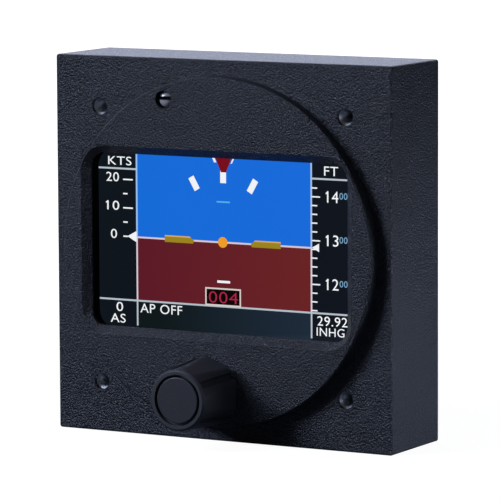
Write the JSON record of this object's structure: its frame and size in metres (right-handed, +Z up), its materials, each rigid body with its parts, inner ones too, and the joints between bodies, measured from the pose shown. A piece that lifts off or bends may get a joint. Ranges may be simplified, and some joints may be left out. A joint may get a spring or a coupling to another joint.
{
  "type": "panel-mounted flight display with autopilot status",
  "caption": "Square panel flight instrument with a round spigot, colour attitude display, push-and-turn knob, rear air ports and data plug.",
  "frame": {"origin": "centre of the round spigot, in the plane of the case's front face that beds against the back of the panel; the four panel screws are centred on it", "axes": "+Z up, the face looks along -Y, +X to the right seen from the front; the knob turns about and is pushed along Y"},
  "size_m": [0.086, 0.0582, 0.086],
  "materials": {
    "case_paint": "fine wrinkle powder coat",
    "cover_paint": "fine wrinkle powder coat",
    "clear_glass": "coated cover glass",
    "display_face": "colour display cell",
    "lamp_plate": "white light plate",
    "frame_plastic": "moulded black plastic",
    "knob_plastic": "fine matt black",
    "cap_plastic": "satin black",
    "seal_rubber": "black rubber",
    "clear_plastic": "clear moulded rod",
    "brass": "turned brass",
    "steel": "zinc-plated steel",
    "black_steel": "black oxide",
    "tin_plate": "tinned sheet",
    "aluminium": "anodised",
    "gold_contact": "gold-flashed",
    "board_green": "solder mask",
    "chip_black": "moulded package",
    "ribbon_amber": "polyimide film",
    "silicone": "clear silicone"
  },
  "bodies": {
    "case": {"housing": "case_paint", "panel_inserts": "brass", "window_gasket": "seal_rubber", "window_glass": "clear_glass", "display_panel": "display_face", "backlight": "lamp_plate", "display_clamp": "frame_plastic", "clamp_screws": "steel", "display_flex": "ribbon_amber", "light_pipe": "clear_plastic", "light_sensor": "chip_black", "main_board": "board_green", "board_screws": "steel", "processor": "chip_black", "memory_chips": "chip_black", "shield_can": "tin_plate", "inertial_sensor": "chip_black", "power_choke": "chip_black", "power_capacitors": "aluminium", "flex_socket": "frame_plastic", "connector_block": "frame_plastic", "connector_shell": "tin_plate", "connector_contacts": "gold_contact", "jack_screws": "steel", "jack_nuts": "steel", "rear_cover": "cover_paint", "cover_gasket": "seal_rubber", "cover_screws": "black_steel", "pitot_fitting": "aluminium", "pitot_sleeve": "silicone", "pitot_sensor": "chip_black", "static_fitting": "aluminium", "static_sleeve": "silicone", "static_sensor": "chip_black", "port_seals": "seal_rubber", "port_nuts": "steel", "encoder_body": "frame_plastic", "encoder_bracket": "tin_plate", "encoder_bushing": "steel", "bushing_washer": "steel", "bushing_nut": "steel", "switch_dome": "tin_plate", "encoder_board": "board_green", "encoder_terminals": "tin_plate", "board_header": "frame_plastic"},
    "rotor": {"encoder_rotor": "frame_plastic"},
    "knob": {"encoder_shaft": "aluminium", "knob_body": "knob_plastic", "knob_cap": "cap_plastic", "knob_collet": "brass", "collet_screw": "steel"}
  },
  "joints": [
    {"name": "knob_turn", "type": "hinge", "parent": "case", "child": "rotor", "pos_m": [-0.0012, 0, -0.0313], "axis": [0, -1, 0], "continuous": true},
    {"name": "knob_push", "type": "slide", "parent": "rotor", "child": "knob", "axis": [0, 1, 0], "range_m": [0, 0.0005], "stiffness_N_per_m": 2000, "springref_m": -0.0005}
  ]
}
